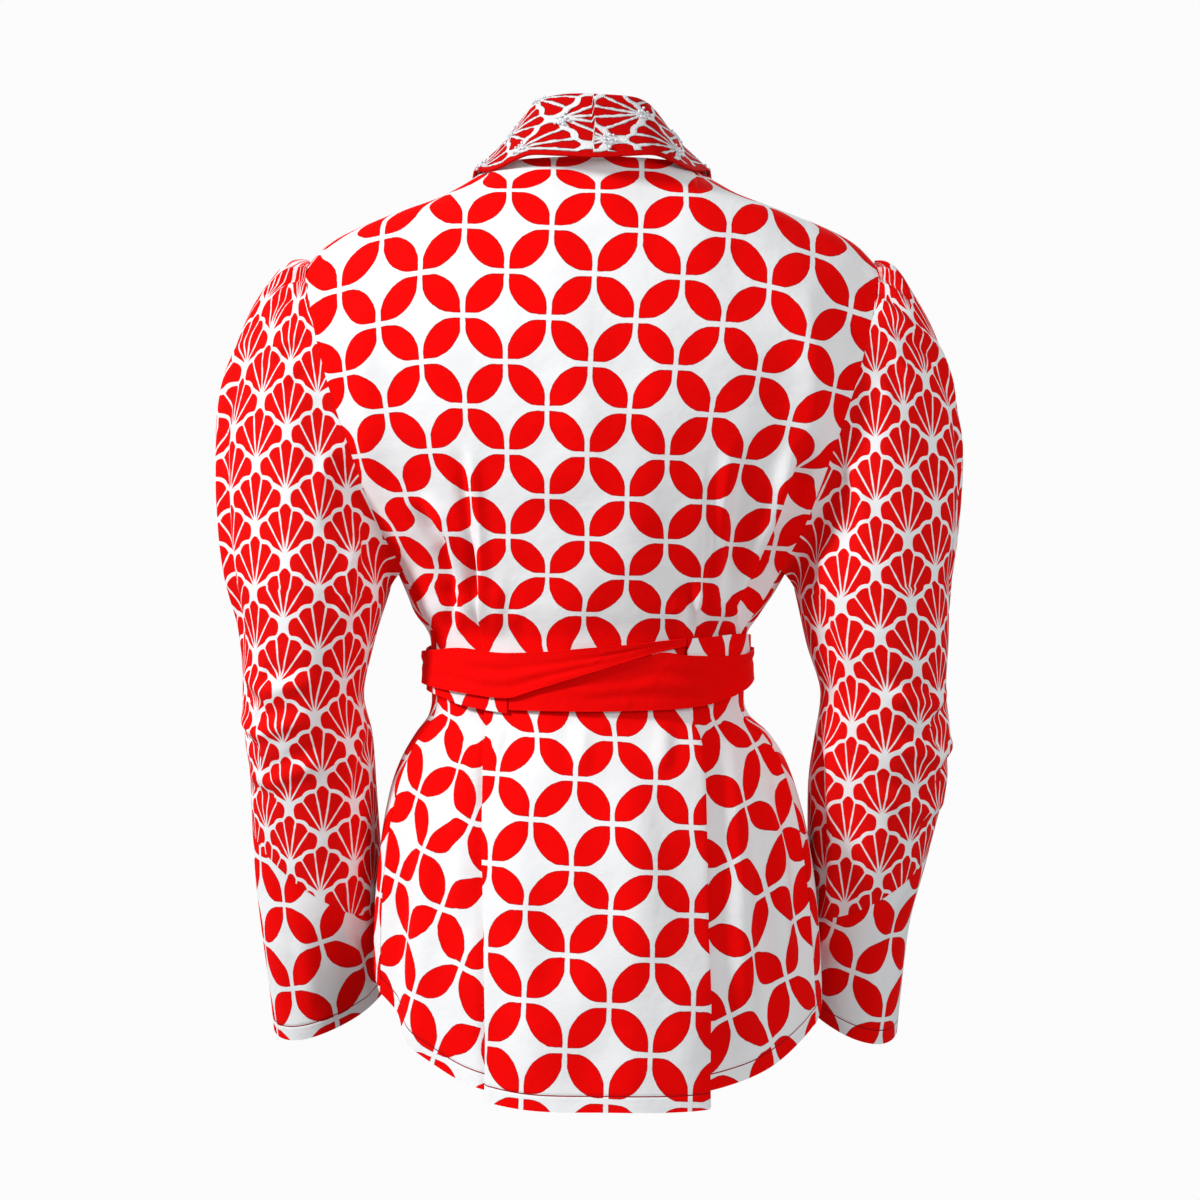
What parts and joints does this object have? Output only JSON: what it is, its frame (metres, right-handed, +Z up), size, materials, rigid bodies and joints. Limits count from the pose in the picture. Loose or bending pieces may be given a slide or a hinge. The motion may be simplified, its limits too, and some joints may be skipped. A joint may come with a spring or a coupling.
{
  "type": "kebaya blouse",
  "caption": "Hip-length cotton blouse in its worn form, with long full sleeves, deep cuffs, a rolled collar, a pleated back, a curved hem and a tied sash.",
  "frame": {"origin": "midway between the two points where the shoulder lines meet the neck, where the wearer carries the blouse", "axes": "+Z up along the wearer's back, -Y the way the wearer faces, +X towards the wearer's left hand"},
  "size_m": [0.5433, 0.2619, 0.7262],
  "materials": {
    "petal_cotton": "matt plain-weave cotton, white with a red petal print",
    "shell_cotton": "matt plain-weave cotton, red with white scallop shells",
    "beaded_shell": "red cotton with raised white shell embroidery and small clear beads",
    "red_cotton": "matt plain red cotton"
  },
  "bodies": {
    "root": {"back": "petal_cotton", "front_left": "petal_cotton", "front_right": "petal_cotton", "sleeve_left": "shell_cotton", "sleeve_right": "shell_cotton", "cuff_left": "petal_cotton", "cuff_right": "petal_cotton", "collar": "beaded_shell", "sash_panel": "petal_cotton", "upper_tie": "red_cotton", "lower_tie": "red_cotton", "tail_left": "red_cotton", "tail_right": "red_cotton", "sash_knot": "red_cotton"}
  },
  "joints": []
}
